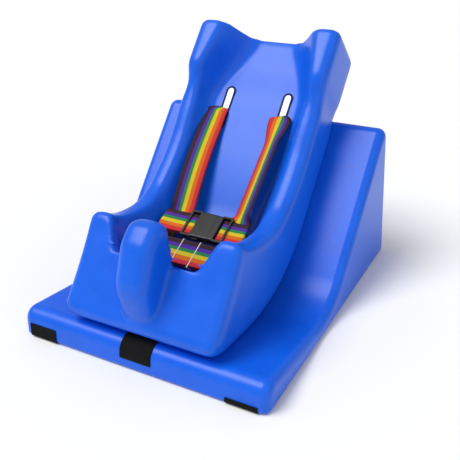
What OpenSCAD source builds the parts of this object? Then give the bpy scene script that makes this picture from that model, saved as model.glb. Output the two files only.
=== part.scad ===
// Child's feeder seat: a moulded foam bucket seat that rocks in the trough of a foam floor wedge,
// with a webbing harness, a side-release buckle and hook-and-loop strips between the two.
// Frame: +Z up, +Y towards the head end, X across. The origin is the middle of the underside.
// Left and right are as seen from the front. Outlines are in [y, z] from the wedge's front edge.

/* [Wedge] */
// Width of the wedge
wedge_w = 400; // [340:5:460]
// Length of the wedge on the floor
wedge_l = 489; // [470:1:540]
// Height of the ridge
wedge_h = 240; // [215:1:250]
// How far the ridge's rear edge stands ahead of the rear base edge
rear_lean = 40; // [20:1:45]
// How far the front face leans back at its top
lip_lean = 3; // [0:0.5:8]
// Rounding of the front lip
lip_r = 20; // [16:1:24]
// Rounding of the bottom of the trough
trough_r = 110; // [60:5:130]
// Rounding of the ridge's two edges
ridge_r = 16; // [14:1:18]
// Rounding of the long side edges
side_r = 14; // [8:1:14]
// Rounding of the base edges
base_r = 5; // [3:0.5:8]

/* [Rocker] */
// Radius of the seat's rocking underside
rocker_r = 230; // [220:1:236]
// Distance of the rocker's centre from the wedge's front edge
rocker_y = 133; // [128:1:140]
// Height of the rocker's centre
rocker_z = 264; // [260:1:276]
// Slope of the seat's back and of the wedge's ramp
back_angle = 47.5; // [44:0.5:52]
// Slope of the trough's floor, down towards the rear
trough_angle = 8; // [5:0.5:10]

/* [Seat shell] */
// Half of the seat's width
seat_half = 122; // [110:1:135]
// How much wider each side is at the front foot
front_flare = 3; // [0:0.5:8]
// Angle of the front face at the arms' tops, measured about the rocker's centre
front_angle = 29; // [26:0.5:30]
// How much further forward the front foot reaches than the arms' tops
foot_angle = 4.5; // [2:0.5:5]
// Length of the straight back
back_l = 290; // [270:1:310]
// Thickness of the seat floor
floor_t = 50; // [42:1:51]
// Thickness of the back panel
panel_t = 56; // [46:1:60]
// Depth of the hollow behind the head
head_dish = 7; // [2:0.5:12]
// Height of the front edge under the legs
lip_h = 88; // [74:1:94]
// Height of the arm fronts
arm_h = 141; // [128:1:146]
// Height of the low sides
waist_h = 84; // [78:1:90]
// Height of the head wings
wing_h = 108; // [98:1:116]
// Half width of the seat floor
pan_half = 50; // [44:1:54]
// Half width of the flat back panel at the shoulders
panel_half = 67; // [64:1:72]
// Width of the head wings' flat fronts
wing_w = 34; // [28:1:36]
// Rounding of the outer top edges
top_r = 15; // [12:0.5:15]
// Rounding of the lower side edges
foot_r = 18; // [12:0.5:20]
// Rounding of the head end's edges
end_r = 10; // [6:0.5:10]
// Length of the rounding at the front end
front_r = 22; // [16:1:26]
// How far that rounding draws the front end in
front_draw = 7; // [4:0.5:7]
// How much more it lifts the underside
front_lift = 5; // [0:0.5:10]
// How far the underside bulges below the rocker at the front foot
front_drop = 12; // [6:0.5:13]

/* [Pommel] */
// Width of the pommel
pommel_w = 53; // [48:1:62]
// Height of the pommel above the seat's front foot
pommel_h = 145; // [135:1:155]
// Depth of the pommel
pommel_d = 80; // [70:1:84]
// Rounding of the pommel
pommel_r = 18; // [14:0.5:20]

/* [Strap slots] */
// Distance of each shoulder slot from the middle
slot_x = 51; // [48:0.5:54]
// Length of a shoulder slot
slot_l = 71; // [66:1:76]
// Clear width of a shoulder slot
slot_w = 10; // [8:0.5:12]
// Distance of the slot's middle up the straight back
slot_s = 158; // [154:1:162]
// Wall of the slot liner
liner_t = 1.3; // [1:0.1:1.6]
// Width of the liner's rim on the panel
liner_rim = 2.2; // [1.5:0.1:3]
// Distance of each hip slot from the middle
hip_x = 62; // [60:0.5:65]
// Width of a hip slot
hip_slot_w = 6; // [5:0.5:8]

/* [Webbing] */
// Width of the webbing
web_w = 38; // [36:0.5:38]
// Thickness of the webbing
web_t = 1.2; // [1:0.1:1.3]
// Height of the lap strap over the underside
lap_h = 87; // [84:0.5:90]
// Angle of the lap strap, measured about the rocker's centre
lap_angle = 25; // [23:0.5:27]
// Distance of each shoulder strap from the middle at the lap
lap_x = 50; // [48:0.5:53]
// Distance of each shoulder strap from the middle at the slot
top_x = 56; // [54:0.5:58]
// Outer end of the lap straps, from the middle
lap_end_x = 72; // [70:0.5:75]

/* [Buckle] */
// Length of the buckle's socket body
socket_l = 28; // [27:0.5:34]
// Width of the buckle
buckle_w = 48; // [46:0.5:50]
// Thickness of the buckle
buckle_t = 13; // [12:0.5:14]
// Wall of the socket
socket_wall = 2; // [1.6:0.1:2.4]
// Length of each strap ladder
ladder_l = 16; // [15:0.5:17]
// Width of the pads on the spring arms
pad_l = 10; // [9:0.5:12]
// How far the pads stand out of the socket's sides
pad_out = 1.6; // [1:0.1:2]

/* [Folded tail] */
// Length of the folded strap end
tail_l = 90; // [80:1:96]
// Number of layers in the folded strap end
tail_layers = 5; // [3:1:5]
// Spacing of the layers
tail_pitch = 3; // [2.6:0.1:3]
// Distance of the folded end's middle below the lap strap's middle
tail_drop = 47; // [46:0.5:48]
// Height of its front layer over the lap strap
tail_rise = 14.8; // [14.5:0.1:16]
// Thickness of the two tie bands
band_t = 1.4; // [1:0.1:1.8]

/* [Strips] */
// Thickness of the hook and the loop strips
strip_t = 1.6; // [1.2:0.1:1.8]
// Width of the middle strips
strip_w = 50; // [40:1:54]
// Gap between the facing strips
strip_gap = 0.3; // [0.2:0.1:0.5]
// Width of the two strips under the wedge
base_strip_w = 47; // [38:1:48]
// Distance from the wedge's side to the middle of a base strip, mm
base_strip_in = 38; // [38:1:50]
// Height of the left base strip up the front
left_tab_h = 24; // [12:1:26]
// Height of the right base strip up the front
right_tab_h = 11; // [6:1:20]

/* [Hidden] */

// Overrun of every cut, fine clearance inside the buckle, and clearance of loose soft pieces
cut = 1;
fit = 0.25;
rest_gap = 0.3;

// Places that the rocker settles
seat_gap = 2 * strip_t + strip_gap;
reach = rocker_r + seat_gap;
centre = [rocker_y, rocker_z];
floor_normal = [-sin(trough_angle), -cos(trough_angle)];
ramp_normal = [sin(back_angle), -cos(back_angle)];
back_start = centre + rocker_r * ramp_normal;
pan_arc = rocker_r * (back_angle + front_angle) * PI / 180;
foot = centre + rocker_r * [-sin(front_angle + foot_angle), -cos(front_angle + foot_angle)];

// The point where two lines meet, each given by its normal and its distance along it
function meet(n1, c1, n2, c2) =
    let(d = n1[0] * n2[1] - n1[1] * n2[0])
    [(c1 * n2[1] - c2 * n1[1]) / d, (n1[0] * c2 - n2[0] * c1) / d];
function unit(v) = v / norm(v);
function blend(t) = let(c = max(0, min(1, t))) c * c * (3 - 2 * c);

// A value read smoothly from a table of shares, by cubics through its points
function tangent_at(tab, i) =
    i == 0 || i == len(tab) - 1 ? 0
    : (tab[i + 1][1] - tab[i - 1][1]) / (tab[i + 1][0] - tab[i - 1][0]);
function cubic(a, b, ma, mb, h, t) =
    a * (1 + 2 * t) * (1 - t) * (1 - t) + b * t * t * (3 - 2 * t)
    + h * ma * t * (1 - t) * (1 - t) - h * mb * t * t * (1 - t);
function read(tab, u, i = 0) =
    u <= tab[0][0] ? tab[0][1]
    : i >= len(tab) - 1 ? tab[len(tab) - 1][1]
    : u > tab[i + 1][0] ? read(tab, u, i + 1)
    : let(h = tab[i + 1][0] - tab[i][0])
      cubic(tab[i][1], tab[i + 1][1], tangent_at(tab, i), tangent_at(tab, i + 1), h, (u - tab[i][0]) / h);

// A closed solid through rings that have equally many points, closed by the faces of cap at both ends
module skin(rings, cap = undef) {
    n = len(rings[0]);
    m = len(rings);
    ends = cap == undef ? [[for (i = [0:n - 1]) i]] : cap;
    first = [for (f = ends) [for (k = [len(f) - 1:-1:0]) f[k]]];
    last = [for (f = ends) [for (i = f) i + (m - 1) * n]];
    sides = [for (k = [0:m - 2], i = [0:n - 1])
        let(a = k * n + i, b = k * n + (i + 1) % n) each [[a, b + n, a + n], [a, b, b + n]]];
    polyhedron([for (r = rings) each r], concat(first, last, sides), convexity = 8);
}

module in_place() {
    translate([0, -wedge_l / 2, 0]) children();
}
// The frame of the straight back: x across, y up the back from its start, z out of its rear face
module on_back() {
    in_place() translate([0, back_start[0], back_start[1]]) rotate([back_angle, 0, 0]) children();
}
// The frame of the lap strap: x across, y up along its width, z out of its front
module at_lap() {
    in_place() translate([0, rocker_y, rocker_z]) rotate([lap_angle, 0, 0])
        translate([0, 0, lap_h - rocker_r]) children();
}
module on_rocker() {
    in_place() translate([0, rocker_y, rocker_z]) rotate([0, 90, 0]) children();
}

// Wedge

ramp_top = meet(ramp_normal, ramp_normal * centre + reach, [0, 1], wedge_h);
lip_top = meet(floor_normal, floor_normal * centre + reach, [1, 0], lip_lean);
trough = meet(floor_normal, floor_normal * centre + reach, ramp_normal, ramp_normal * centre + reach);
wedge_side = [[0, strip_t], lip_top, trough, ramp_top, [wedge_l - rear_lean, wedge_h],
    [wedge_l, strip_t]];
// Radius of each corner, and whether it is hollow: a hollow corner grows as the outline shrinks
wedge_radii = [base_r, lip_r, trough_r, ridge_r, ridge_r, base_r];
wedge_turn_shares = [-1, -1, 1, -1, -1, -1];
// How much of the side rounding each edge takes: the base edge keeps its small radius
wedge_edge_shares = [1, 1, 1, 1, 1, base_r / side_r];
wedge_steps = [3, 6, 9, 5, 5, 3];
least_r = base_r / 10;

// An outline of rounded corners, drawn in by e. Corners run clockwise
function edge_line(c, shares, i, e) =
    let(a = c[i], d = unit(c[(i + 1) % len(c)] - a), n = [d[1], -d[0]]) [n, n * a + e * shares[i]];
function drawn_in(c, shares, i, e) =
    let(p = edge_line(c, shares, (i + len(c) - 1) % len(c), e), q = edge_line(c, shares, i, e))
    meet(p[0], p[1], q[0], q[1]);
// The arc of radius r that rounds corner p between its neighbours a and b
function corner_arc(a, p, b, r, steps) =
    let(u = unit(a - p), v = unit(b - p), half = acos(u * v) / 2, c = p + unit(u + v) * r / sin(half),
        from = p + u * r / tan(half) - c, to = p + v * r / tan(half) - c, turn = 180 - 2 * half)
    [for (k = [0:steps])
        let(t = k / steps) c + (sin((1 - t) * turn) * from + sin(t * turn) * to) / sin(turn)];
function outline(c, radii, turns, shares, steps, e) =
    let(n = len(c), q = [for (i = [0:n - 1]) drawn_in(c, shares, i, e)])
    [for (i = [0:n - 1]) each corner_arc(q[(i + n - 1) % n], q[i], q[(i + 1) % n],
        max(least_r, radii[i] + e * turns[i]), steps[i])];
function wedge_outline(e) =
    outline(wedge_side, wedge_radii, wedge_turn_shares, wedge_edge_shares, wedge_steps, e);

side_steps = 5;
side_turns = [for (k = [0:side_steps]) 90 * k / side_steps];
// Faces that close the wedge's side: fans from both ends of the base edge, meeting in the trough's
// lowest point
closing_outline = wedge_outline(side_r);
wedge_count = len(closing_outline);
trough_first = wedge_steps[0] + wedge_steps[1] + 2;
trough_heights = [for (k = [0:wedge_steps[2]]) closing_outline[trough_first + k][1]];
trough_point = trough_first + search(min(trough_heights), trough_heights)[0];
wedge_cap = concat(
    [for (i = [1:trough_point - 1]) [0, i, i + 1]],
    [[0, trough_point, wedge_count - 1]],
    [for (i = [trough_point:wedge_count - 3]) [wedge_count - 1, i, i + 1]]);
module wedge_form() {
    rings = [for (a = side_turns) wedge_outline(side_r * (1 - cos(a)))];
    in_place() skin(round_sided(rings, wedge_w, side_r), wedge_cap);
}
// Rings across a width w, whose outlines draw in towards both sides round a radius r
function round_sided(rings, w, r) = [for (side = [-1, 1])
    each [for (j = [0:side_steps])
        let(k = side < 0 ? side_steps - j : j, x = side * (w / 2 - r + r * sin(side_turns[k])))
        [for (p = rings[k]) [x, p[0], p[1]]]]];
// A strip stuck under the base and up the front to height h
module base_strip_form(x, h) {
    in_place() translate([x - base_strip_w / 2, 0, 0]) rotate([90, 0, 90])
        linear_extrude(base_strip_w) intersection() {
            difference() {
                offset(delta = strip_t) polygon(wedge_outline(0));
                polygon(wedge_outline(0));
            }
            union() {
                translate([-cut - strip_t, -cut]) square([cut + side_r, h + cut]);
                translate([0, -cut]) square([wedge_l - 3 * side_r, 2 * strip_t]);
            }
        }
}
module wedge_block() {
    color([0.13, 0.33, 0.9]) wedge_form();
}
module base_strip_left() {
    color([0.06, 0.06, 0.06]) base_strip_form(base_strip_in - wedge_w / 2, left_tab_h);
}
module base_strip_right() {
    color([0.06, 0.06, 0.06]) base_strip_form(wedge_w / 2 - base_strip_in, right_tab_h);
}
// The loop strip starts low on the front face and ends under the shoulder strap behind the back
strip_foot_z = 18;
hook_top_s = 112;
loop_top = back_start + hook_top_s * [cos(back_angle), sin(back_angle)];
module wedge_loop_strip() {
    color([0.06, 0.06, 0.06]) in_place() translate([-strip_w / 2, 0, 0]) rotate([90, 0, 90])
        linear_extrude(strip_w) intersection() {
            difference() {
                offset(delta = strip_t) polygon(wedge_outline(0));
                polygon(wedge_outline(0));
            }
            translate([-2 * strip_t, strip_foot_z])
                square([loop_top[0] + 2 * strip_t + seat_gap, loop_top[1] - strip_foot_z]);
        }
}

// Seat shell

// A station runs from -1 at the front foot to 0 where the back starts, and to 1 at the head end
function arc_s(u) = u < 0 ? u * pan_arc : u * back_l;
function shell_point(u, x, n) =
    let(s = arc_s(u), rise = max(s, 0), reach_out = foot_angle * read(lean_shares, u) * max(0, 1 - n / arm_h),
        turn = back_angle + min(s, 0) / rocker_r * 180 / PI - reach_out,
        out = [sin(turn), -cos(turn)], along = [cos(turn), sin(turn)],
        p = centre + (rocker_r - n) * out + rise * along)
    [x, p[0], p[1]];

arm_shares = [[-1, 1], [-0.83, 0.92], [-0.49, 0.69], [-0.2, 0.37], [0, 0.17], [0.16, 0.03], [0.29, 0]];
wing_shares = [[0.29, 0], [0.45, 0.15], [0.58, 0.3], [0.64, 0.5], [0.71, 0.94], [0.78, 1]];
lip_shares = [[-1, 1], [-0.93, 0.88], [-0.84, 0.4], [-0.7, 0]];
panel_shares = [[-0.3, 0], [0.3, 1]];
dish_shares = [[0.58, 0], [0.86, 1]];
spread_shares = [[-0.1, 0], [0.17, 0.45], [0.45, 1], [0.66, 0.8], [0.86, -0.8], [1, -2]];
drop_shares = [[-1, 1], [-0.9, 0.92], [-0.85, 0.58], [-0.8, 0.3], [-0.75, 0.13], [-0.7, 0.03], [-0.66, 0]];
// How much of the front foot's forward reach each station takes
lean_shares = [[-1, 1], [-0.55, 0]];
ridge_shares = [[-1, 0.95], [-0.8, 0.85], [0, 0.75], [0.5, 0.75], [0.63, 0.58], [0.74, 0.72], [1, 1]];
flare_shares = [[-1, 1], [-0.92, 0.62], [-0.83, 0.26], [-0.72, 0.05], [-0.6, 0]];
waist_shares = [[0.5, 0], [0.63, 1], [0.74, 0]];
waist_in = 3;
// Stations along the shell: close together at both ends and where the shape turns
station_shares = [-0.9, -0.86, -0.82, -0.78, -0.74, -0.68, -0.62, -0.55, -0.48, -0.41, -0.34,
    -0.27, -0.2, -0.13, -0.06, 0, 0.08, 0.17, 0.26, 0.35, 0.44, 0.51, 0.57, 0.61, 0.65, 0.69, 0.73,
    0.78, 0.84, 0.9];
wall_power = 1.5;
wall_steps = 8;

function top_height(u) = waist_h + (arm_h - waist_h) * read(arm_shares, u)
    + (wing_h - waist_h) * read(wing_shares, u);
function low_height(u) = floor_t + (panel_t - floor_t) * read(panel_shares, u)
    + (lip_h - floor_t) * read(lip_shares, u) - head_dish * read(dish_shares, u);
function floor_half(u) = pan_half + (panel_half - pan_half) * read(spread_shares, u);
function outer_half(u) = seat_half - waist_in * read(waist_shares, u);
function foot_half(u) = outer_half(u) + front_flare * read(flare_shares, u);
function ridge_in(u) = outer_half(u) - wing_w * read(ridge_shares, u);
// Height of the hollow side over the underside, at distance x from the middle
function inner_height(u, x) =
    let(a = low_height(u), b = top_height(u), f = floor_half(u), r = ridge_in(u))
    a + (b - a) * blend(pow(max(0, (x - f) / (r - f)), wall_power));

// Half of the cross-section: along the underside, round the foot, up the side, over the top and in
function half_section(u, lift = 0) =
    let(w = foot_half(u), t = outer_half(u), h = top_height(u), f = floor_half(u), r = ridge_in(u),
        low = lift - front_drop * read(drop_shares, u), side = [w, low + foot_r], shoulder = [t, h - top_r])
    concat(
        [[0, low], [(w - foot_r) / 2, low], [w - foot_r, low]],
        [for (a = [30, 60, 90]) side + foot_r * [sin(a) - 1, -cos(a)]],
        [(side + shoulder) / 2],
        [for (a = [0:22.5:90]) [t - top_r + top_r * cos(a), h - top_r + top_r * sin(a)]],
        [for (k = [wall_steps:-1:0]) let(x = f + (r - f) * k / wall_steps) [x, inner_height(u, x)]],
        [[f / 2, low_height(u)], [0, low_height(u)]]);
function section(u, lift) =
    let(half = half_section(u, lift), n = len(half))
    concat(half, [for (k = [n - 2:-1:1]) [-half[k][0], half[k][1]]]);
function shrunk(ring, e) =
    let(n = len(ring))
    [for (i = [0:n - 1])
        let(d = unit(ring[(i + 1) % n] - ring[(i + n - 1) % n])) ring[i] + e * [-d[1], d[0]]];
function shell_ring(u, e, lift = 0) = [for (p = shrunk(section(u, lift), e)) shell_point(u, p[0], p[1])];

// Faces that close the section, between its outer and its inner half, in pairs from the middle out
half_count = len(half_section(0));
ring_count = 2 * half_count - 2;
turn_point = (half_count - 1) / 2;
half_cap = concat(
    [for (i = [0:turn_point - 2])
        let(k = half_count - 1 - i) each [[i, i + 1, k - 1], [i, k - 1, k]]],
    [[turn_point - 1, turn_point, turn_point + 1]]);
section_cap = concat(half_cap,
    [for (f = half_cap) [for (k = [2:-1:0]) (ring_count - f[k]) % ring_count]]);

end_turns = [90, 66, 42, 18, 0];
front_rings = [for (a = end_turns)
    shell_ring(-1 + front_r * (1 - sin(a)) / pan_arc, front_draw * (1 - cos(a)), front_lift * (1 - cos(a)))];
head_rings = [for (k = [len(end_turns) - 1:-1:0])
    let(a = end_turns[k]) shell_ring(1 - end_r * (1 - sin(a)) / back_l, end_r * (1 - cos(a)))];

module shell_form() {
    in_place() skin(concat(front_rings, [for (u = station_shares) shell_ring(u, 0)], head_rings),
        section_cap);
}

// Corners of the pommel's side from the front foot, as shares of its depth and height, and their radii
pommel_shares = [[0.02, 0.06], [-0.13, 0.4], [0.16, 0.8], [0.49, 0.965], [0.87, 0.885], [0.87, 0.18],
    [0.34, 0.06]];
pommel_side = [for (p = pommel_shares) [p[0] * pommel_d, p[1] * pommel_h]];
pommel_radius_shares = [0.45, 2.9, 1.45, 1.1, 1, 0.36, 0.36];
pommel_radii = [for (p = pommel_radius_shares) p * pommel_r];
pommel_turn_shares = [for (p = pommel_side) -1];
pommel_edge_shares = [for (p = pommel_side) 1];
pommel_steps = [3, 5, 4, 5, 5, 2, 2];
module pommel_form() {
    rings = [for (a = side_turns) outline(pommel_side, pommel_radii, pommel_turn_shares,
        pommel_edge_shares, pommel_steps, pommel_r * (1 - cos(a)))];
    in_place() translate([0, foot[0], foot[1]]) skin(round_sided(rings, pommel_w, pommel_r));
}
// A block with round ends, long along y
module stadium(l, w, h) {
    for (end = [-1, 1]) translate([0, end * (l - w) / 2, 0]) cylinder(d = w, h = h, $fn = 32);
    translate([-w / 2, -(l - w) / 2, 0]) cube([w, l - w, h]);
}
liner_w = slot_w + 2 * liner_t;
liner_l = slot_l + 2 * liner_t;
module shoulder_slot(side) {
    on_back() translate([side * slot_x, slot_s, -cut])
        stadium(liner_l + 2 * fit, liner_w + 2 * fit, panel_t + top_r);
}
hip_slot_l = web_w + 4 * rest_gap + hip_slot_w / 2;
module hip_slot(side) {
    at_lap() translate([side * hip_x, 0, -lap_h - cut])
        stadium(hip_slot_l, hip_slot_w, lap_h);
}
module seat_shell() {
    color([0.13, 0.33, 0.9]) difference() {
        union() {
            shell_form();
            pommel_form();
        }
        for (side = [-1, 1]) {
            shoulder_slot(side);
            hip_slot(side);
        }
    }
}

// Hook strips on the seat

pan_strip_from = -4;
pan_strip_to = 12;
band_facets = 180;
// A band round the rocker between two radii, cut to a sector
module rocker_band(r1, r2, w, from, to) {
    inner = r1 / cos(180 / band_facets);
    on_rocker() rotate([0, 0, from]) translate([0, 0, -w / 2])
        rotate_extrude(angle = to - from, $fn = band_facets) translate([inner, 0]) square([r2 - r1, w]);
}
module pan_hook_strip() {
    color([0.06, 0.06, 0.06])
        rocker_band(rocker_r, rocker_r + strip_t, strip_w, pan_strip_from, pan_strip_to);
}
hook_foot_s = 14;
module back_hook_strip() {
    color([0.06, 0.06, 0.06]) on_back() translate([-strip_w / 2, hook_foot_s, -strip_t])
        cube([strip_w, hook_top_s - hook_foot_s, strip_t]);
}

module slot_liner(side) {
    color([0.03, 0.05, 0.25]) on_back() translate([side * slot_x, slot_s, 0]) difference() {
        union() {
            stadium(liner_l, liner_w, panel_t);
            translate([0, 0, panel_t]) stadium(liner_l + 2 * liner_rim, liner_w + 2 * liner_rim, liner_t / 2);
        }
        translate([0, 0, -cut]) stadium(slot_l, slot_w, panel_t + 2 * cut + liner_t);
    }
}
module slot_liner_left() { slot_liner(-1); }
module slot_liner_right() { slot_liner(1); }

// Harness

// Half of the thickness of a folded loop of webbing
loop_r = 3.5;
// A place in the lap strap's frame, given in the back's frame as distance up the back and height
lap_tilt = back_angle - lap_angle;
function from_lap(s, n) =
    let(a = s * cos(lap_tilt) + (n + lap_h - rocker_r) * sin(lap_tilt),
        b = (n + lap_h - rocker_r) * cos(lap_tilt) - s * sin(lap_tilt))
    [a, b + rocker_r];
// A shoulder strap runs up from the lap, swings into line with its slot, goes through the slot and
// then behind the back, past the middle to its seam
web_foot_s = slot_s - slot_l / 2 + rest_gap;
web_mid_s = web_foot_s + web_w / 2;
panel_n = panel_t + liner_t / 2 + rest_gap + web_t / 2;
// The strap lies flat behind the lap strap between these two places, clear of the buckle's rails
lap_low = -14;
lap_high = buckle_w / 2 + 4 * rest_gap;
strap_drop = loop_r + rest_gap + web_t / 2;
seam_half = 15;
swing_l = 25;
swing_n = 3;
strap_run_shares = [0, 0.25, 0.5, 0.75, 1];
swing_turns = [18:18:72];
// A ring of webbing: its middle, its width direction and the direction of its thickness
function web_ring(c, w, h) =
    let(a = w * web_w, b = h * web_t) [c + a - b, c + a + b, c - a + b, c - a - b];
function strap_rings(layer) =
    let(low = from_lap(lap_low, -strap_drop), high = from_lap(lap_high, -strap_drop),
        start_s = web_mid_s - swing_l, lap_up = [0, 0.5 * sin(lap_tilt), 0.5 * cos(lap_tilt)],
        rear = -rest_gap - web_t / 2 - layer * (web_t + rest_gap),
        across = [0.5, 0, 0], along = [0, 0.5, 0], up = [0, 0, 0.5], inward = [-0.5, 0, 0])
    concat(
        [web_ring([lap_x, low[0], low[1]], across, lap_up)],
        [for (t = strap_run_shares) web_ring([lap_x, high[0], high[1]] * (1 - t)
            + [top_x, start_s, panel_n + swing_n] * t, across, t > 0 ? up : lap_up)],
        [for (a = swing_turns) let(t = 1 - sin(a))
            web_ring([slot_x + (top_x - slot_x) * t, start_s + swing_l * sin(a), panel_n + swing_n * t],
                across * cos(a) + along * sin(a), up)],
        [web_ring([slot_x, web_mid_s, panel_n], along, up + inward),
            web_ring([slot_x, web_mid_s, rear], along, up + inward),
            web_ring([-seam_half, web_mid_s, rear], along, up)]);
// The webbing turns in less than its own width, so each step between two rings is a convex solid of its own
module shoulder_strap(side, layer) {
    rings = strap_rings(layer);
    mirror([side < 0 ? 1 : 0, 0, 0]) on_back()
        for (k = [0:len(rings) - 2]) hull() skin([rings[k], rings[k + 1]]);
}
module shoulder_strap_left() { color([0.85, 0.35, 0.2]) shoulder_strap(-1, 0); }
module shoulder_strap_right() { color([0.85, 0.35, 0.2]) shoulder_strap(1, 1); }

// The hip strap comes up through both hip slots from its run behind the seat
tab_l = 9;
module hip_prism(x0, x1, z0, z1) {
    at_lap() translate([x0, -web_w / 2, z0]) cube([x1 - x0, web_w, z1 - z0]);
}
module hip_strap() {
    deep = lap_h + floor_t;
    top = -loop_r - web_t - 2 * rest_gap;
    out = hip_x + web_t / 2;
    color([0.35, 0.25, 0.6]) {
        intersection() {
            for (side = [-1, 1]) hip_prism(side * hip_x - web_t / 2, side * hip_x + web_t / 2, -deep, top);
            rocker_tube(0, rocker_r + rest_gap + web_t);
        }
        intersection() {
            hip_prism(-out, out, -deep, -deep / 2);
            rocker_tube(rocker_r + rest_gap, rocker_r + rest_gap + web_t);
        }
        hip_prism(-out, -out + tab_l, top - web_t, top);
        hip_prism(out - tab_l, out, top - web_t, top);
    }
}
module rocker_tube(r1, r2) {
    on_rocker() translate([0, 0, -seat_half]) difference() {
        cylinder(r = r2, h = 2 * seat_half, $fn = 180);
        if (r1 > 0) translate([0, 0, -cut]) cylinder(r = r1, h = 2 * (seat_half + cut), $fn = 180);
    }
}

// A flat loop of webbing from x0 to x1, its width along y
module web_loop(x0, x1) {
    rotate([90, 0, 0]) linear_extrude(web_w, center = true) difference() {
        loop_outline(x0, x1, loop_r);
        loop_outline(x0, x1, loop_r - web_t);
    }
}
module loop_outline(x0, x1, r) {
    for (x = [x0 + loop_r, x1 - loop_r]) translate([x, 0]) circle(r, $fn = 24);
    translate([x0 + loop_r, -r]) square([x1 - x0 - 2 * loop_r, 2 * r]);
}

// Buckle: the socket's mouth lies at mouth_x, and both ladders reach out from the body
mouth_x = 18;
socket_x = mouth_x - socket_l;
plug_base_l = 10;
plug_x = mouth_x + fit + plug_base_l;
bar_r = loop_r - web_t - fit;
bar_in = 5;
rail_w = 3.4;
rail_t = 2 * loop_r;
outer_bar_w = 3;
outer_bar_t = 2.2;
socket_bar_x = socket_x - bar_in;
plug_bar_x = plug_x + bar_in;
module lap_strap_left() {
    color([0.85, 0.35, 0.2]) at_lap() web_loop(-lap_end_x, socket_bar_x + loop_r);
}
module lap_strap_right() {
    color([0.85, 0.35, 0.2]) at_lap() web_loop(plug_bar_x - loop_r, lap_end_x);
}
// Two rails, the bar that the webbing turns round, and the outer bar in front of the webbing.
// The ladder starts at x = 0 and reaches along +x
module ladder() {
    for (side = [-1, 1])
        translate([-cut, side > 0 ? buckle_w / 2 - rail_w : -buckle_w / 2, -rail_t / 2])
            cube([ladder_l + cut, rail_w, rail_t + rest_gap + outer_bar_t]);
    translate([bar_in, buckle_w / 2 - cut, 0]) rotate([90, 0, 0])
        cylinder(r = bar_r, h = buckle_w - 2 * cut, $fn = 24);
    translate([ladder_l - outer_bar_w, -buckle_w / 2, loop_r + rest_gap])
        cube([outer_bar_w, buckle_w, outer_bar_t]);
}
// A block with rounded long edges, centred in y and z
module bar_block(l, w, h, r) {
    rotate([90, 0, 90]) linear_extrude(l) {
        for (y = [-1, 1], z = [-1, 1]) translate([y * (w / 2 - r), z * (h / 2 - r)]) circle(r, $fn = 24);
        square([w - 2 * r, h], center = true);
        square([w, h - 2 * r], center = true);
    }
}
block_r = 3;
window_l = pad_l + 7 * fit;
window_x = socket_x + 1.5 * socket_wall;
module buckle_socket() {
    cave_w = buckle_w - 4 * socket_wall;
    cave_t = buckle_t - 2 * socket_wall;
    color([0.05, 0.05, 0.05]) at_lap() {
        difference() {
            translate([socket_x, 0, 0]) bar_block(socket_l, buckle_w, buckle_t, block_r);
            translate([socket_x + socket_wall, -cave_w / 2, -cave_t / 2]) cube([socket_l, cave_w, cave_t]);
            translate([window_x, -buckle_w, -cave_t / 2]) cube([window_l, 2 * buckle_w, cave_t]);
        }
        translate([socket_x, 0, 0]) mirror([1, 0, 0]) ladder();
    }
}
tongue_w = 10;
tongue_t = 4;
arm_w = 4;
arm_t = 5;
// Spring arm: distance of its outer face from the middle inside the socket
arm_y = buckle_w / 2 - 2 * socket_wall - 4 * fit;
// The arm's round root, on its hinge's axis
arm_root_x = mouth_x - arm_w / 2;
plug_side = 0.5;
module buckle_plug() {
    color([0.05, 0.05, 0.05]) at_lap() {
        translate([mouth_x + fit, 0, 0]) bar_block(plug_base_l, buckle_w - 2 * plug_side, buckle_t, block_r);
        translate([socket_x + 2 * socket_wall, -tongue_w / 2, -tongue_t / 2])
            cube([mouth_x - socket_x, tongue_w, tongue_t]);
        translate([plug_x, 0, 0]) ladder();
    }
}
// The arm is a straight leaf with a pad that reaches out through the socket's window
module buckle_arm(side) {
    color([0.07, 0.07, 0.07]) at_lap() mirror([0, side < 0 ? 1 : 0, 0])
        translate([0, 0, -arm_t / 2]) {
            translate([window_x + fit, arm_y - arm_w, 0])
                cube([arm_root_x - window_x - fit, arm_w, arm_t]);
            translate([arm_root_x, arm_y - arm_w / 2, 0]) cylinder(d = arm_w, h = arm_t, $fn = 32);
            translate([window_x + 2 * fit, arm_y - arm_w, 0])
                cube([pad_l, buckle_w / 2 + pad_out - arm_y + arm_w, arm_t]);
        }
}
module buckle_arm_upper() { buckle_arm(1); }
module buckle_arm_lower() { buckle_arm(-1); }

// The spare end of the strap, folded to and fro and tied with two bands
tail_turn_r = (tail_pitch + web_t) / 2;
module at_tail() {
    place = from_lap(0, 0);
    on_back() translate([0, place[0] - tail_drop, place[1] + tail_rise]) children();
}
module strap_tail() {
    color([0.85, 0.35, 0.2]) at_tail()
        rotate([90, 0, 0]) linear_extrude(web_w, center = true) for (k = [0:tail_layers - 1]) {
            translate([-tail_l / 2, -k * tail_pitch - web_t]) square([tail_l, web_t]);
            end_x = (k % 2 == 0 ? 1 : -1) * tail_l / 2;
            if (k < tail_layers - 1)
                translate([end_x, -k * tail_pitch - tail_turn_r]) mirror([k % 2, 0]) intersection() {
                    difference() {
                        circle(tail_turn_r, $fn = 24);
                        circle(tail_turn_r - web_t, $fn = 24);
                    }
                    translate([0, -tail_turn_r]) square(2 * tail_turn_r);
                }
        }
}
tail_t = (tail_layers - 1) * tail_pitch + web_t;
band_tilt = 14;
band_place_shares = [-0.22, 0.1];
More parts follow.
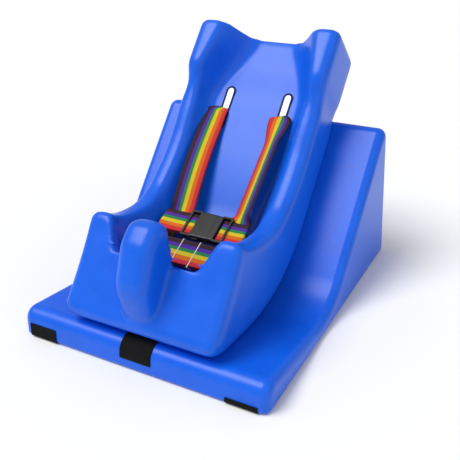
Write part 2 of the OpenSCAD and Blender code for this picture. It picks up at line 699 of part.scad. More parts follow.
module tie_band(i) {
    w = web_w / cos(band_tilt) + 2 * rest_gap;
    h = tail_t + 2 * rest_gap;
    color([0.93, 0.9, 0.72]) at_tail() translate([band_place_shares[i] * tail_l, 0, -tail_t / 2])
        rotate([0, 0, -band_tilt]) translate([-band_t / 2, 0, 0]) difference() {
            bar_block(band_t, w + 2 * band_t, h + 2 * band_t, band_t);
            translate([-cut, -w / 2, -h / 2]) cube([band_t + 2 * cut, w, h]);
        }
}
module tie_band_left() { tie_band(0); }
module tie_band_right() { tie_band(1); }

wedge_block();
wedge_loop_strip();
base_strip_left();
base_strip_right();
seat_shell();
pan_hook_strip();
back_hook_strip();
slot_liner_left();
slot_liner_right();
shoulder_strap_left();
shoulder_strap_right();
hip_strap();
lap_strap_left();
lap_strap_right();
buckle_socket();
buckle_plug();
buckle_arm_upper();
buckle_arm_lower();
strap_tail();
tie_band_left();
tie_band_right();
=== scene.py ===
"""Looks of a child's foam feeder seat on its floor wedge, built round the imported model.

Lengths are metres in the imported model's frame: +Z up, +Y towards the head end, X across.
Side outlines are [y, z] measured from the wedge's front edge, as the solids are.
"""

import bmesh
import bpy
import numpy as np
from mathutils import Matrix


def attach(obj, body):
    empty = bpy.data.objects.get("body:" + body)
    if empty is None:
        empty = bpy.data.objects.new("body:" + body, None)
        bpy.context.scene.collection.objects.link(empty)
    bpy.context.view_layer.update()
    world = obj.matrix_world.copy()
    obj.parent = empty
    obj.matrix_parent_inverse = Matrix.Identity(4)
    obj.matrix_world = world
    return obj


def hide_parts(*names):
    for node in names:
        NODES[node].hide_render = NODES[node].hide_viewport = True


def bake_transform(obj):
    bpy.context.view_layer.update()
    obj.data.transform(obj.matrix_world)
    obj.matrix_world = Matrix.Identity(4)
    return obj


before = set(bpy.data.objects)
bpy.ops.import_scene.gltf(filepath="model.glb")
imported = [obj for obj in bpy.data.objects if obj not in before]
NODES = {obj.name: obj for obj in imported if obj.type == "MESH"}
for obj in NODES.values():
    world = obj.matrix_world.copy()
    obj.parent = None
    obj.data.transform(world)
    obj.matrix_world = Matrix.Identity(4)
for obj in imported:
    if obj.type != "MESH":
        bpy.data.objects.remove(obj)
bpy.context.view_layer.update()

MM = 0.001

# Wedge
WEDGE_W, WEDGE_L, WEDGE_H = 400 * MM, 489 * MM, 240 * MM
REAR_LEAN, LIP_LEAN = 40 * MM, 3 * MM
LIP_R, TROUGH_R, RIDGE_R, SIDE_R, BASE_R = 20 * MM, 110 * MM, 16 * MM, 14 * MM, 5 * MM
STRIP_T = 1.6 * MM
FRONT_Y = -WEDGE_L / 2

# Rocker that the seat's underside follows, and the straight back that runs off it
ROCKER_R, ROCKER_C = 230 * MM, np.array([133, 264]) * MM
BACK_ANGLE, TROUGH_ANGLE, FRONT_ANGLE, FOOT_ANGLE = np.radians([47.5, 8.0, 29.0, 4.5])
BACK_L = 290 * MM
SEAT_GAP = 3.5 * MM
PAN_ARC = ROCKER_R * (BACK_ANGLE + FRONT_ANGLE)

# Seat shell. FRONT_DRAW is 7 mm in the solid
SEAT_HALF, FRONT_FLARE, WAIST_IN = 122 * MM, 3 * MM, 3 * MM
FLOOR_T, PANEL_T, HEAD_DISH = 50 * MM, 56 * MM, 7 * MM
LIP_H, ARM_H, WAIST_H, WING_H = 88 * MM, 141 * MM, 84 * MM, 108 * MM
PAN_HALF, PANEL_HALF, WING_W = 50 * MM, 67 * MM, 34 * MM
TOP_R, FOOT_R, END_R = 15 * MM, 18 * MM, 10 * MM
FRONT_R, FRONT_DRAW, FRONT_LIFT, FRONT_DROP = 22 * MM, 12 * MM, 5 * MM, 12 * MM
WALL_POWER = 1.5
POMMEL_W, POMMEL_H, POMMEL_D, POMMEL_R = 53 * MM, 145 * MM, 80 * MM, 18 * MM
VOXEL, STATIONS, END_STATIONS = 3 * MM, 190, 9

# Slots
SLOT_X, SLOT_L, SLOT_W, SLOT_S = 51 * MM, 71 * MM, 10 * MM, 158 * MM
LINER_T, HIP_X, HIP_SLOT_W = 1.3 * MM, 62 * MM, 6 * MM
FIT, REST_GAP = 0.25 * MM, 0.3 * MM

# Webbing
WEB_W, WEB_T = 38 * MM, 1.2 * MM
LAP_ANGLE, LAP_H = np.radians(25.0), 87 * MM
LAP_X, LAP_END_X = 50 * MM, 72 * MM
LOOP_R, LOOP_SAG = 3.5 * MM, 0.9 * MM
SOCKET_BAR_X, PLUG_BAR_X = -15 * MM, 33.25 * MM
TAIL_L, TAIL_LAYERS, TAIL_PITCH = 90 * MM, 5, 3 * MM
TAIL_DROP, TAIL_RISE = 47 * MM, 14.8 * MM
TAIL_SKEW, TAIL_CROWN = 1.3 * MM, 1.2 * MM

# Shoulder straps: foot and knee at the lap, bow of the free run, dive and twist into the slot, run behind
STRAP_FOOT, STRAP_KNEE, STRAP_RISE, STRAP_SEAM = -14 * MM, 25.2 * MM, 3 * MM, 15 * MM
BOW_OUT, BOW_UP = 2 * MM, 4 * MM
DIVE_L, DIVE_DEEP, TWIST_DEEP = 9 * MM, 8 * MM, 22 * MM
BEND_IN, BEND_OUT = 2 * MM, 3 * MM

# Hip webbing: both gaps over an end together, 1.5 mm more than in its solid, and an end's length and bend
HIP_DROP, HIP_TAB, HIP_BEND = 2.1 * MM, 9 * MM, 1.5 * MM

# Camera: turn about the object, height angle, roll, focal length in pixels of the 460-pixel frame,
# and the offset of the frame's front edge middle from the camera
CAMERA_TURN, CAMERA_TILT, CAMERA_ROLL = np.radians([28.509, 27.609, -1.245])
CAMERA_FOCAL, FRAME_PIXELS, SENSOR = 684.2, 460, 36.0
CAMERA_OFFSET = np.array([-0.12672, -0.19611, -0.93717])
CAMERA_NUDGE = 3 * MM

# Shape tables, as shares along the shell: -1 front foot, 0 start of the back, 1 head end
ARM_SHARES = [(-1, 1), (-0.83, 0.92), (-0.49, 0.69), (-0.2, 0.37), (0, 0.17), (0.16, 0.03), (0.29, 0)]
WING_SHARES = [(0.29, 0), (0.45, 0.15), (0.58, 0.3), (0.64, 0.5), (0.71, 0.94), (0.78, 1)]
LIP_SHARES = [(-1, 1), (-0.93, 0.88), (-0.84, 0.4), (-0.7, 0)]
PANEL_SHARES = [(-0.3, 0), (0.3, 1)]
DISH_SHARES = [(0.58, 0), (0.86, 1)]
SPREAD_SHARES = [(-0.1, 0), (0.17, 0.45), (0.45, 1), (0.66, 0.8), (0.86, -0.8), (1, -2)]
DROP_SHARES = [(-1, 1), (-0.9, 0.92), (-0.85, 0.58), (-0.8, 0.3), (-0.75, 0.13), (-0.7, 0.03), (-0.66, 0)]
LEAN_SHARES = [(-1, 1), (-0.55, 0)]
RIDGE_SHARES = [(-1, 0.95), (-0.8, 0.85), (0, 0.75), (0.5, 0.75), (0.63, 0.58), (0.74, 0.72), (1, 1)]
FLARE_SHARES = [(-1, 1), (-0.92, 0.62), (-0.83, 0.26), (-0.72, 0.05), (-0.6, 0)]
WAIST_SHARES = [(0.5, 0), (0.63, 1), (0.74, 0)]
POMMEL_SHARES = [(0.02, 0.06), (-0.13, 0.4), (0.16, 0.8), (0.49, 0.965), (0.87, 0.885), (0.87, 0.18),
                 (0.34, 0.06)]
POMMEL_RADIUS_SHARES = [0.45, 2.9, 1.45, 1.1, 1, 0.36, 0.36]


def read(table, u):
    """Cubic through a table's points, level at both ends, elsewhere sloped as its neighbours' chord."""
    t, v = np.array(table, float).T
    slope = np.zeros(len(t))
    slope[1:-1] = (v[2:] - v[:-2]) / (t[2:] - t[:-2])
    u = np.clip(u, t[0], t[-1])
    i = np.clip(np.searchsorted(t, u, side="right") - 1, 0, len(t) - 2)
    h = t[i + 1] - t[i]
    w = (u - t[i]) / h
    return (v[i] * (1 + 2 * w) * (1 - w) ** 2 + v[i + 1] * w * w * (3 - 2 * w)
            + h * slope[i] * w * (1 - w) ** 2 - h * slope[i + 1] * w * w * (1 - w))


def unit(v):
    """Vectors over their own lengths."""
    return v / np.linalg.norm(v, axis=-1, keepdims=True)


def ease(t):
    """3 t^2 - 2 t^3, held at 0 and 1 outside."""
    t = np.clip(t, 0, 1)
    return t * t * (3 - 2 * t)


# Frames of the seat

BACK_OUT = np.array([np.sin(BACK_ANGLE), -np.cos(BACK_ANGLE)])
BACK_ALONG = np.array([np.cos(BACK_ANGLE), np.sin(BACK_ANGLE)])
BACK_START = ROCKER_C + ROCKER_R * BACK_OUT


def to_world(x, yz):
    """Joins x and a side outline's [y, z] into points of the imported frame."""
    return np.stack([np.broadcast_to(x, yz.shape[:-1]), yz[..., 0] + FRONT_Y, yz[..., 1]], axis=-1)


def shell_point(u, x, n):
    """Point at share u along the shell, x across and height n over the rocking underside.

    Near the front foot the angle runs ahead by FOOT_ANGLE * lean * (1 - n / ARM_H), so the front face slopes.
    """
    s = np.where(u < 0, u * PAN_ARC, u * BACK_L)
    ahead = FOOT_ANGLE * read(LEAN_SHARES, u) * np.maximum(0, 1 - n / ARM_H)
    turn = BACK_ANGLE + np.minimum(s, 0) / ROCKER_R - ahead
    out = np.stack([np.sin(turn), -np.cos(turn)], axis=-1)
    along = np.stack([np.cos(turn), np.sin(turn)], axis=-1)
    return to_world(x, ROCKER_C + (ROCKER_R - n)[..., None] * out + np.maximum(s, 0)[..., None] * along)


def on_back(p):
    """Points (x across, y up the back, z out of its rear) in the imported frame."""
    p = np.asarray(p, float)
    return to_world(p[..., 0], BACK_START + p[..., 1:2] * BACK_ALONG - p[..., 2:3] * BACK_OUT)


def turned(v, angle):
    """Directions (x, y, z) turned about X by the frame's angle."""
    v = np.asarray(v, float)
    c, s = np.cos(angle), np.sin(angle)
    return np.stack([v[..., 0], v[..., 1] * c - v[..., 2] * s, v[..., 1] * s + v[..., 2] * c], axis=-1)


def on_lap(p):
    """Points in the lap strap's frame: x across, y up its width, z out of its front."""
    p = np.asarray(p, float) + [0, 0, LAP_H - ROCKER_R]
    return turned(p, LAP_ANGLE) + [0, ROCKER_C[0] + FRONT_Y, ROCKER_C[1]]


def lap_in_back(s, n):
    """A place (y, z) of the lap strap's frame, as (y, z) of the back's frame."""
    tilt, m = BACK_ANGLE - LAP_ANGLE, n + LAP_H - ROCKER_R
    return np.array([s * np.cos(tilt) + m * np.sin(tilt), m * np.cos(tilt) - s * np.sin(tilt) + ROCKER_R])


# Mesh makers


def make_mesh(name, verts, faces):
    """One object at the origin from arrays of points and of faces."""
    mesh = bpy.data.meshes.new(name)
    mesh.from_pydata(np.asarray(verts).reshape(-1, 3).tolist(), [], faces)
    mesh.validate()
    mesh.shade_smooth()
    obj = bpy.data.objects.new(name, mesh)
    bpy.context.scene.collection.objects.link(obj)
    return obj


def tube_faces(rings, points, closed=False):
    """Quads between successive rings, with the two ends closed by one face each unless the rings close."""
    i = np.arange(rings if closed else rings - 1)[:, None]
    k = np.arange(points)[None, :]
    j, m = (i + 1) % rings, (k + 1) % points
    quads = np.stack([i * points + k, i * points + m, j * points + m, j * points + k], axis=-1)
    faces = quads.reshape(-1, 4).tolist()
    if not closed:
        faces += [list(range(points))[::-1], list(range((rings - 1) * points, rings * points))]
    return faces


def outward(obj):
    """Merges doubles and turns every face outwards."""
    bm = bmesh.new()
    bm.from_mesh(obj.data)
    bmesh.ops.remove_doubles(bm, verts=bm.verts, dist=1e-6)
    bmesh.ops.recalc_face_normals(bm, faces=bm.faces)
    bm.to_mesh(obj.data)
    bm.free()
    return obj


def finished(obj):
    """Replaces the object's mesh by what its modifiers make of it."""
    graph = bpy.context.evaluated_depsgraph_get()
    graph.update()
    mesh = bpy.data.meshes.new_from_object(obj.evaluated_get(graph))
    obj.modifiers.clear()
    obj.data = mesh
    mesh.shade_smooth()
    return obj


def cut(obj, cutter):
    """Takes the cutter's solid out of the object and deletes the cutter."""
    mod = obj.modifiers.new("cut", "BOOLEAN")
    mod.operation, mod.solver, mod.object = "DIFFERENCE", "EXACT", cutter
    finished(obj)
    bpy.data.objects.remove(cutter)
    return obj


# Rounded side outlines


def corner_arc(a, p, b, r, steps):
    """Arc of radius r that touches both lines a-p and p-b, swung from one touching point to the other."""
    u, v = unit(a - p), unit(b - p)
    half = np.arccos(u @ v) / 2
    c = p + unit(u + v) * r / np.sin(half)
    start, end = p + u * r / np.tan(half) - c, p + v * r / np.tan(half) - c
    turn = np.pi - 2 * half
    t = np.linspace(0, 1, steps + 1)[:, None]
    return c + (np.sin((1 - t) * turn) * start + np.sin(t * turn) * end) / np.sin(turn)


def outline(corners, radii, hollow, edge_shares, e, steps):
    """The rounded outline through clockwise corners, drawn in by e times each edge's share."""
    c = np.asarray(corners, float)
    d = unit(np.roll(c, -1, axis=0) - c)
    n = np.stack([d[:, 1], -d[:, 0]], axis=-1)
    k = (n * c).sum(1) + e * np.asarray(edge_shares)
    q = np.array([np.linalg.solve([n[i - 1], n[i]], [k[i - 1], k[i]]) for i in range(len(c))])
    arcs = [corner_arc(q[i - 1], q[i], q[(i + 1) % len(q)], max(0.5 * MM, radii[i] + e * hollow[i]), steps)
            for i in range(len(q))]
    return np.concatenate(arcs)


def round_sided(name, rim, width, r, steps):
    """Carries outlines across x: level between the sides, drawn in round a quarter circle at both."""
    turns = np.linspace(0, np.pi / 2, steps)
    rings = [rim(r * (1 - np.cos(a))) for a in turns]
    xs = width / 2 - r + r * np.sin(turns)
    verts = [to_world(-x, ring) for x, ring in zip(xs[::-1], rings[::-1])]
    verts += [to_world(x, ring) for x, ring in zip(xs, rings)]
    return outward(make_mesh(name, np.array(verts), tube_faces(len(verts), len(rings[0]))))


def line_of(angle, side):
    """Normal and distance of the wedge's line that touches the circle round the rocker at an angle."""
    n = np.array([np.sin(angle) * side, -np.cos(angle)])
    return n, n @ ROCKER_C + ROCKER_R + SEAT_GAP


def wedge_outline(e, steps=14):
    """Front face, lip, trough, ramp, ridge and rear of the wedge."""
    ramp, floor = line_of(BACK_ANGLE, 1), line_of(TROUGH_ANGLE, -1)

    def cross(a, b):
        return np.linalg.solve([a[0], b[0]], [a[1], b[1]])

    corners = [(0, STRIP_T), cross(floor, (np.array([1.0, 0]), LIP_LEAN)), cross(floor, ramp),
               cross(ramp, (np.array([0, 1.0]), WEDGE_H)), (WEDGE_L - REAR_LEAN, WEDGE_H),
               (WEDGE_L, STRIP_T)]
    radii = [BASE_R, LIP_R, TROUGH_R, RIDGE_R, RIDGE_R, BASE_R]
    return outline(corners, radii, [-1, -1, 1, -1, -1, -1], [1, 1, 1, 1, 1, BASE_R / SIDE_R], e, steps)


def copy_of(node):
    """A merged copy of a node's solid."""
    obj = NODES[node].copy()
    obj.data = NODES[node].data.copy()
    obj.parent = None
    obj.matrix_world = Matrix.Identity(4)
    bpy.context.scene.collection.objects.link(obj)
    return outward(obj)


def bevelled(node, width):
    """A copy of a node with its flat faces joined and its sharp edges rounded."""
    obj = copy_of(node)
    bm = bmesh.new()
    bm.from_mesh(obj.data)
    bmesh.ops.dissolve_limit(bm, angle_limit=np.radians(0.5), verts=bm.verts, edges=bm.edges)
    bm.to_mesh(obj.data)
    bm.free()
    mod = obj.modifiers.new("edges", "BEVEL")
    mod.width, mod.segments, mod.limit_method, mod.angle_limit = width, 3, "ANGLE", np.radians(30)
    finished(obj)
    return even_normals(obj)


def even_normals(obj):
    """Lets large faces rule the shading beside small ones, and keeps steep edges crisp."""
    obj.data.set_sharp_from_angle(angle=np.radians(40))
    mod = obj.modifiers.new("shading", "WEIGHTED_NORMAL")
    mod.keep_sharp = True
    graph = bpy.context.evaluated_depsgraph_get()
    graph.update()
    obj.data = bpy.data.meshes.new_from_object(obj.evaluated_get(graph))
    obj.modifiers.clear()
    return obj


# Seat shell


def half_section(u, lift):
    """Half of the shell's cross-section at shares u: arrays of x and height, one row per share.

    Along the underside, round the foot, up the side, over the top, down the hollow's wall by
    low + (high - low) * ease(((x - floor) / (ridge - floor)) ^ power), and in to the middle.
    """
    u, lift = u[:, None], lift[:, None]
    t = SEAT_HALF - WAIST_IN * read(WAIST_SHARES, u)
    w = t + FRONT_FLARE * read(FLARE_SHARES, u)
    h = WAIST_H + (ARM_H - WAIST_H) * read(ARM_SHARES, u) + (WING_H - WAIST_H) * read(WING_SHARES, u)
    low = (FLOOR_T + (PANEL_T - FLOOR_T) * read(PANEL_SHARES, u) + (LIP_H - FLOOR_T) * read(LIP_SHARES, u)
           - HEAD_DISH * read(DISH_SHARES, u))
    f = PAN_HALF + (PANEL_HALF - PAN_HALF) * read(SPREAD_SHARES, u)
    r = t - WING_W * read(RIDGE_SHARES, u)
    base = lift - FRONT_DROP * read(DROP_SHARES, u)
    q = np.linspace(0, 1, 12)[None]
    a = np.linspace(0, np.pi / 2, 9)[None]
    wall = np.linspace(1, 0, 26)[None]
    side = q[:, 1:-1]
    x = [q * (w - FOOT_R), w - FOOT_R + FOOT_R * np.sin(a[:, 1:]), w + (t - w) * side,
         t - TOP_R + TOP_R * np.cos(a), f + (r - f) * wall, f * (1 - q[:, 1:])]
    n = [base + 0 * q, base + FOOT_R * (1 - np.cos(a[:, 1:])),
         base + FOOT_R + (h - TOP_R - FOOT_R - base) * side, h - TOP_R + TOP_R * np.sin(a),
         low + (h - low) * ease(wall ** WALL_POWER) + 0 * f, low + 0 * q[:, 1:]]
    return np.concatenate(x, axis=1), np.concatenate(n, axis=1)


def section_rings(u, e, lift):
    """Whole sections at shares u, each drawn in by its own e along the section's normals."""
    x, n = half_section(u, lift)
    x = np.concatenate([x, -x[:, -2:0:-1]], axis=1)
    n = np.concatenate([n, n[:, -2:0:-1]], axis=1)
    ring = np.stack([x, n], axis=-1)
    d = unit(np.roll(ring, -1, axis=1) - np.roll(ring, 1, axis=1) + [1e-12, 0])
    ring = ring + e[:, None, None] * np.stack([-d[..., 1], d[..., 0]], axis=-1)
    return shell_point(np.broadcast_to(u[:, None], x.shape), ring[..., 0], ring[..., 1])


def shell_form():
    """The shell as stations along the rocker and the back, with both ends rounded."""
    a = np.linspace(np.pi / 2, 0, END_STATIONS)
    front = -1 + FRONT_R * (1 - np.sin(a)) / PAN_ARC
    head = 1 - END_R * (1 - np.sin(a[::-1])) / BACK_L
    u = np.concatenate([front, np.linspace(front[-1], head[0], STATIONS)[1:-1], head])
    e = np.zeros(len(u))
    e[:END_STATIONS] = FRONT_DRAW * (1 - np.cos(a))
    e[-END_STATIONS:] = END_R * (1 - np.cos(a[::-1]))
    lift = np.zeros(len(u))
    lift[:END_STATIONS] = FRONT_LIFT * (1 - np.cos(a))
    rings = section_rings(u, e, lift)
    return outward(make_mesh("seat_foam", rings, tube_faces(*rings.shape[:2])))


def pommel_form():
    """The pommel: a side outline of rounded corners, carried across with rounded edges."""
    lean = FRONT_ANGLE + FOOT_ANGLE
    foot = ROCKER_C - ROCKER_R * np.array([np.sin(lean), np.cos(lean)])
    corners = foot + np.array(POMMEL_SHARES) * [POMMEL_D, POMMEL_H]
    radii = np.array(POMMEL_RADIUS_SHARES) * POMMEL_R
    ones = np.ones(len(corners))
    return round_sided("pommel", lambda e: outline(corners, radii, -ones, ones, e, 8), POMMEL_W, POMMEL_R, 10)


def stadium_cutter(name, length, width, low, high, place, frame_point):
    """A prism with round ends, long along y, between heights low and high of a frame."""
    a = np.linspace(0, np.pi, 17)
    ends = np.stack([np.cos(a) * width / 2, np.sin(a) * width / 2 + (length - width) / 2], axis=-1)
    rim = np.concatenate([ends, -ends]) + place
    rings = np.array([np.column_stack([rim, np.full(len(rim), z)]) for z in (low, high)])
    return outward(make_mesh(name, frame_point(rings), tube_faces(2, len(rim))))


def seat_foam():
    """Shell and pommel grown together by a remesh, smoothed to a fillet where they meet, then slotted."""
    shell, pommel = shell_form(), pommel_form()
    mod = shell.modifiers.new("join", "BOOLEAN")
    mod.operation, mod.solver, mod.object = "UNION", "EXACT", pommel
    finished(shell)
    bpy.data.objects.remove(pommel)
    mesh = shell.modifiers.new("even", "REMESH")
    mesh.mode, mesh.voxel_size = "VOXEL", VOXEL
    soft = shell.modifiers.new("soften", "SMOOTH")
    soft.factor, soft.iterations = 0.5, 16
    finished(shell)
    liner_l, liner_w = SLOT_L + 2 * (LINER_T + FIT), SLOT_W + 2 * (LINER_T + FIT)
    hip_l = WEB_W + 4 * REST_GAP + HIP_SLOT_W / 2
    for side in (-1, 1):
        cut(shell, stadium_cutter("shoulder_cut", liner_l, liner_w, -END_R, PANEL_T + TOP_R,
                                  (side * SLOT_X, SLOT_S), on_back))
        cut(shell, stadium_cutter("hip_cut", hip_l, HIP_SLOT_W, -LAP_H - END_R, -END_R / 10,
                                  (side * HIP_X, 0), on_lap))
    return shell


# Webbing


def level_widths(count, angle):
    """The direction across the webbing, alike at each ring, in the frame turned by angle."""
    return turned(np.repeat([[0, -1, 0]], count, axis=0), angle)


def ribbon(name, centres, widths, normals, closed=False):
    """Webbing carried along a path, its face worked out as centre + width * a + normal * t (1 - a^8)^0.5."""
    a = np.linspace(-1, 1, 15)
    h = np.sqrt(np.clip(1 - np.abs(a) ** 8, 0, 1))
    across = np.concatenate([a, a[-2:0:-1]])
    lift = np.concatenate([h, -h[-2:0:-1]])
    verts = (centres[:, None] + widths[:, None] * (across * (WEB_W / 2))[None, :, None]
             + normals[:, None] * (lift * (WEB_T / 2))[None, :, None])
    rings, points = verts.shape[:2]
    obj = make_mesh(name, verts, tube_faces(rings, points, closed))
    run = np.append(centres, centres[:1], axis=0) if closed else centres
    length = np.concatenate([[0], np.cumsum(np.linalg.norm(np.diff(run, axis=0), axis=1))])
    ring_of, point_of = np.divmod(np.array([lp.vertex_index for lp in obj.data.loops]), points)
    along = length[ring_of]
    if closed:
        quads = len(obj.data.polygons) * 4
        wrap = np.arange(quads) // 4 // points == rings - 1
        along = np.where(wrap & (ring_of == 0), length[-1], along)
    uv = np.stack([(across[point_of] + 1) / 2, along], axis=-1)
    obj.data.uv_layers.new(name="webbing").data.foreach_set("uv", uv.ravel())
    bm = bmesh.new()
    bm.from_mesh(obj.data)
    bmesh.ops.recalc_face_normals(bm, faces=bm.faces)
    bm.to_mesh(obj.data)
    bm.free()
    return obj


def shoulder_strap(name, side, layer, tilt_most, offset):
    """From under the lap strap up to its slot, gathered into it, through it and behind the back.

    The free run leans about its own length by tilt_most * ease(14 t) * ease(4 (1 - t)).
    """
    drop = LOOP_R + REST_GAP + WEB_T / 2
    foot, knee = lap_in_back(STRAP_FOOT, -drop), lap_in_back(STRAP_KNEE, -drop)
    mid_s = SLOT_S - SLOT_L / 2 + REST_GAP + WEB_W / 2
    top_n = PANEL_T + LINER_T / 2 + REST_GAP + WEB_T / 2
    rear = -REST_GAP - WEB_T / 2 - layer * (WEB_T + REST_GAP)
    tilt = BACK_ANGLE - LAP_ANGLE
    q = np.linspace(0, 1, 4)[:-1, None]
    start = np.array([LAP_X, *knee])
    end = np.array([SLOT_X + offset, SLOT_S - DIVE_L, top_n + STRAP_RISE])
    lap = np.array([LAP_X, *foot]) * (1 - q) + start * q
    t = np.linspace(0, 1, 50)
    run = start + (end - start) * t[:, None] + np.sin(np.pi * t)[:, None] * [BOW_OUT, 0, BOW_UP]
    lean, roll = tilt * (1 - ease(t * 6)), tilt_most * ease(14 * t) * ease(4 * (1 - t))
    run_w = np.stack([np.cos(roll), 0 * roll, np.sin(roll)], axis=-1)
    run_up = np.stack([-np.sin(roll), np.sin(lean), np.cos(roll) * np.cos(lean)], axis=-1)
    a = np.linspace(0, np.pi / 2, 12)[1:]
    g = ease(a / a[-1])
    dive = np.stack([end[0] + (SLOT_X - end[0]) * g, end[1] + DIVE_L * np.sin(a),
                     end[2] - DIVE_DEEP * (1 - np.cos(a))], axis=-1)
    dive_w = np.stack([1 - 0.75 * g, 0 * a, 0.25 * np.sin(2 * a)], axis=-1)
    dive_up = np.stack([0 * a, np.sin(a), np.cos(a)], axis=-1)
    b = np.linspace(0, np.pi / 2, 14)[1:]
    size = np.minimum(1, 0.24 / np.maximum(np.cos(b), 0.01))
    h = ease(b / b[-1])
    twist = np.stack([0 * b + SLOT_X, SLOT_S + (mid_s - SLOT_S) * h,
                      dive[-1, 2] - TWIST_DEEP * b / b[-1]], axis=-1)
    twist_w = np.stack([np.cos(b), np.sin(b), 0 * b], axis=-1) * size[:, None]
    twist_up = np.stack([-np.sin(b), np.cos(b), 0 * b], axis=-1)
    deep = np.linspace(twist[-1, 2] - BEND_IN, rear + BEND_IN, 5)
    through = np.stack([0 * deep + SLOT_X, 0 * deep + mid_s, deep], axis=-1)
    behind = np.array([[x, mid_s, rear] for x in (SLOT_X, SLOT_X - BEND_OUT, 0, -STRAP_SEAM)])
    centres = np.concatenate([lap, run, dive, twist, through, behind])
    across = np.concatenate([np.repeat([[1, 0, 0]], len(lap), axis=0), run_w, dive_w, twist_w,
                             np.repeat([[0, 1, 0]], len(deep) + len(behind), axis=0)])
    up = np.concatenate([np.repeat([[0, np.sin(tilt), np.cos(tilt)]], len(lap), axis=0), run_up, dive_up,
                         twist_up, np.repeat([[-1, 0, 0]], len(deep), axis=0), [[-1, 0, 1]],
                         np.repeat([[0, 0, 1]], len(behind) - 1, axis=0)])
    flip = np.array([side, 1, 1])
    # The dark edge of the stripes lies outwards on both straps
    return ribbon(name, on_back(centres * flip), -turned(across * flip, BACK_ANGLE),
                  turned(unit(up) * flip, BACK_ANGLE))


def lap_loop(name, x0, x1):
    """A flat loop of webbing between x0 and x1, round the middle line of a stadium."""
    r = LOOP_R - WEB_T / 2
    a = np.linspace(-np.pi / 2, np.pi / 2, 15)
    right = np.stack([x1 - LOOP_R + r * np.cos(a), r * np.sin(a)], axis=-1)
    left = np.stack([x0 + LOOP_R - r * np.cos(a), -r * np.sin(a)], axis=-1)
    q = np.linspace(0, 1, 24)[1:-1, None]
    sag = np.stack([0 * q[:, 0], np.sin(np.pi * q[:, 0]) * LOOP_SAG], axis=-1)
    path = np.concatenate([right, right[-1] * (1 - q) + left[0] * q - sag, left,
                           left[-1] * (1 - q) + right[0] * q - sag])
    points = np.stack([path[:, 0], 0 * path[:, 0], path[:, 1]], axis=-1)
    tangent = unit(np.roll(points, -1, axis=0) - np.roll(points, 1, axis=0))
    normal = np.cross([0, 1, 0], tangent)
    return ribbon(name, on_lap(points), level_widths(len(points), LAP_ANGLE), turned(normal, LAP_ANGLE),
                  closed=True)


def hip_strap():
    """Up through both hip slots from the run under the seat, each end turned in under its lap loop.

    A shoulder strap lies between an end and its loop, so the end's middle is 1.5 webbings under the gaps.
    """
    top, low = -LOOP_R - HIP_DROP - 1.5 * WEB_T, -LAP_H - REST_GAP - WEB_T / 2
    end = np.array([[HIP_X - HIP_TAB, top], [HIP_X - HIP_BEND, top], [HIP_X, top - HIP_BEND]])
    down = np.stack([np.full(20, HIP_X), np.linspace(top - 2 * HIP_BEND, low + 2 * HIP_BEND, 20)], axis=-1)
    turn = np.array([[HIP_X, low + HIP_BEND], [HIP_X - HIP_BEND, low]])
    half = np.concatenate([end, down, turn])
    path = np.concatenate([half, [[0, low]], (half * [-1, 1])[::-1]])
    points = np.stack([path[:, 0], 0 * path[:, 0], path[:, 1]], axis=-1)
    normal = np.cross([0, 1, 0], unit(np.gradient(points, axis=0)))
    return ribbon("hip_webbing", on_lap(points), level_widths(len(points), LAP_ANGLE),
                  turned(normal, LAP_ANGLE))


def strap_tail():
    """The folded strap end: straight layers to and fro, joined by half turns, each layer a little askew."""
    r = TAIL_PITCH / 2
    q = np.linspace(0, 1, 22)
    a = np.linspace(0, np.pi, 11)[1:-1]
    skews = TAIL_SKEW * np.sin(2.4 * np.arange(TAIL_LAYERS) + 0.6)
    path = []
    for k in range(TAIL_LAYERS):
        way = 1 if k % 2 == 0 else -1
        x = -way * TAIL_L / 2 + way * TAIL_L * q
        skew = skews[k]
        crown = TAIL_CROWN * np.sin(np.pi * q) * (k == 0)
        path.append(np.stack([x, skew + 0 * x, -k * TAIL_PITCH - WEB_T / 2 + crown], axis=-1))
        if k < TAIL_LAYERS - 1:
            after = skews[k + 1]
            w = a / np.pi
            path.append(np.stack([way * (TAIL_L / 2 + r * np.sin(a)), skew * (1 - w) + after * w,
                                  -k * TAIL_PITCH - WEB_T / 2 - r * (1 - np.cos(a))], axis=-1))
    path = np.concatenate(path)
    place = lap_in_back(0, 0) + [-TAIL_DROP, TAIL_RISE]
    normal = np.cross([0, 1, 0], unit(np.gradient(path * [1, 0, 1], axis=0)))
    return ribbon("tail_webbing", on_back(path + [0, *place]), level_widths(len(path), BACK_ANGLE),
                  turned(normal, BACK_ANGLE))


# Materials


def node(tree, kind, inputs=(), **settings):
    """Adds a shader node, sets its properties, and fills its inputs with values or links."""
    new = tree.nodes.new("ShaderNode" + kind)
    for key, value in settings.items():
        setattr(new, key, value)
    for key, value in dict(inputs).items():
        if isinstance(value, bpy.types.NodeSocket):
            tree.links.new(value, new.inputs[key])
        else:
            new.inputs[key].default_value = value
    return new


def group(name, ins, outs):
    """An empty node group with named sockets."""
    tree = bpy.data.node_groups.new(name, "ShaderNodeTree")
    for key, kind in ins.items():
        tree.interface.new_socket(key, in_out="INPUT", socket_type=kind)
    for key, kind in outs.items():
        tree.interface.new_socket(key, in_out="OUTPUT", socket_type=kind)
    return tree, tree.nodes.new("NodeGroupInput"), tree.nodes.new("NodeGroupOutput")


